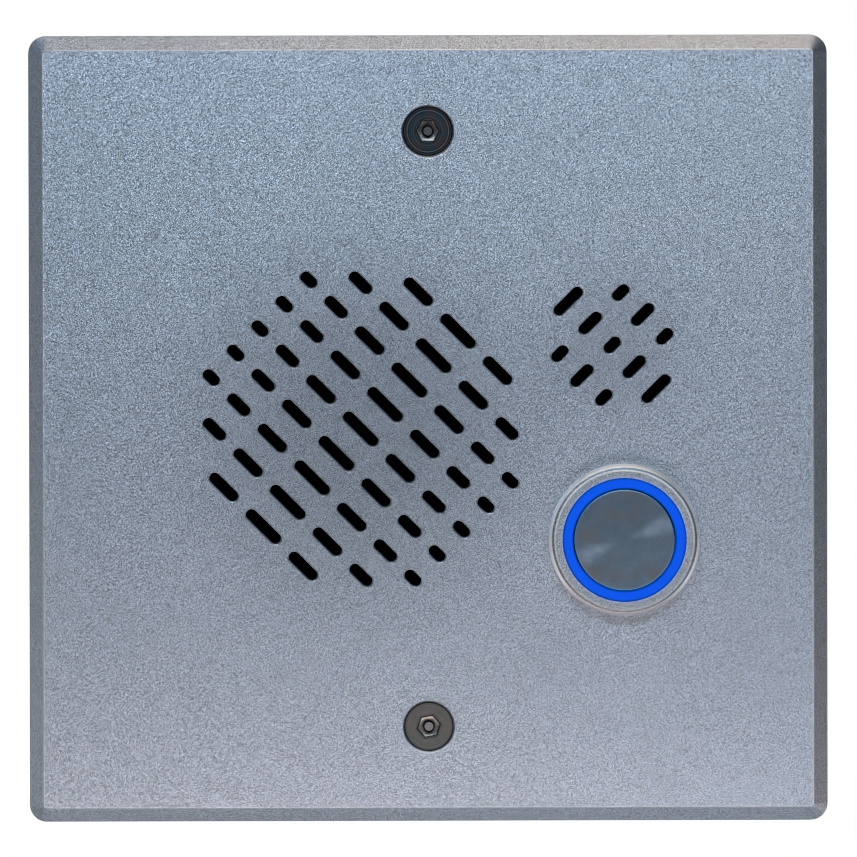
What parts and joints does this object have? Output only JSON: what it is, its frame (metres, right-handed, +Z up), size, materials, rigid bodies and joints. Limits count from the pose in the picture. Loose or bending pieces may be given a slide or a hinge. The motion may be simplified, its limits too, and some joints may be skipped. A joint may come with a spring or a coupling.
{
  "type": "flush wall intercom",
  "caption": "Square bevelled metal wall plate with slotted speaker and microphone grilles, a lit push button, security screws, and a sheet-metal can of electronics behind.",
  "frame": {"origin": "centre of the plate, on the wall plane", "axes": "+Y into the wall, +Z up, +X to the right seen from the front"},
  "size_m": [0.1158, 0.055, 0.114],
  "materials": {
    "faceplate": "bead-blasted, clear anodised",
    "seal_foam": "closed-cell foam",
    "zinc_steel": "zinc plated sheet",
    "screw_steel": "dark plated",
    "bright_steel": "bright plated",
    "mesh": "woven acoustic mesh",
    "cone_paper": "pressed pulp",
    "soft_rubber": "matt moulded",
    "coil": "enamelled copper on a film former",
    "spider_cloth": "resin-set cloth",
    "ferrite": "sintered",
    "tag_board": "laminate",
    "brass": "bright",
    "button_steel": "satin turned",
    "cap_steel": "circular turned",
    "light_ring": "lit translucent",
    "board_green": "solder mask",
    "lamp": "clear resin",
    "white_plastic": "moulded",
    "black_plastic": "moulded",
    "green_plastic": "moulded",
    "capacitor_sleeve": "shrunk sleeve",
    "relay_case": "moulded",
    "reset_plastic": "moulded",
    "wire_red": "sleeving",
    "wire_yellow": "sleeving",
    "wire_grey": "sleeving"
  },
  "bodies": {
    "intercom": {"faceplate": "faceplate", "wall_seal": "seal_foam", "speaker_foam_ring": "seal_foam", "mounting_bracket": "zinc_steel", "rear_can": "zinc_steel", "microphone_strap": "zinc_steel", "speaker_frame": "zinc_steel", "face_screws": "screw_steel", "speaker_screws": "bright_steel", "microphone_screw": "bright_steel", "can_screws": "bright_steel", "terminal_screws": "bright_steel", "button_washer": "bright_steel", "button_nut": "bright_steel", "front_standoffs": "bright_steel", "rear_standoffs": "bright_steel", "speaker_top_plate": "bright_steel", "speaker_yoke": "bright_steel", "button_spring": "bright_steel", "jack_shell": "bright_steel", "microphone_capsule": "bright_steel", "speaker_mesh": "mesh", "microphone_mesh": "mesh", "speaker_surround": "soft_rubber", "microphone_boot": "soft_rubber", "button_panel_seal": "soft_rubber", "speaker_spider": "spider_cloth", "speaker_magnet": "ferrite", "power_transformer": "ferrite", "speaker_tag_board": "tag_board", "speaker_tags": "brass", "button_terminals": "brass", "jack_contacts": "brass", "button_housing": "button_steel", "button_light_ring": "light_ring", "circuit_board": "board_green", "button_led_board": "board_green", "button_leds": "lamp", "status_lights": "lamp", "lead_sockets": "white_plastic", "lead_plugs": "white_plastic", "button_switch_base": "black_plastic", "jack_insert": "black_plastic", "circuit_chips": "black_plastic", "reset_switch": "black_plastic", "terminal_header": "green_plastic", "terminal_plug": "green_plastic", "capacitors": "capacitor_sleeve", "relay": "relay_case", "speaker_leads": "wire_red", "microphone_leads": "wire_yellow", "button_leads": "wire_grey"},
    "push_button": {"button_cap": "cap_steel", "button_stem": "white_plastic", "button_stem_seal": "soft_rubber", "button_contact_bridge": "brass"},
    "cone": {"speaker_cone": "cone_paper", "speaker_dust_cap": "cone_paper", "speaker_voice_coil": "coil"},
    "reset_button": {"reset_plunger": "reset_plastic"}
  },
  "joints": [
    {"name": "button_press", "type": "slide", "parent": "intercom", "child": "push_button", "axis": [0, 1, 0], "range_m": [0, 0.0016], "stiffness_N_per_m": 1200, "springref_m": -0.0015, "deforming": ["button_spring"]},
    {"name": "speaker_cone_travel", "type": "slide", "parent": "intercom", "child": "cone", "axis": [0, -1, 0], "range_m": [-0.0005, 0.0005], "stiffness_N_per_m": 900, "deforming": ["speaker_surround", "speaker_spider"]},
    {"name": "reset_press", "type": "slide", "parent": "intercom", "child": "reset_button", "axis": [0, -1, 0], "range_m": [0, 0.00025], "stiffness_N_per_m": 3000, "springref_m": -0.0003}
  ]
}
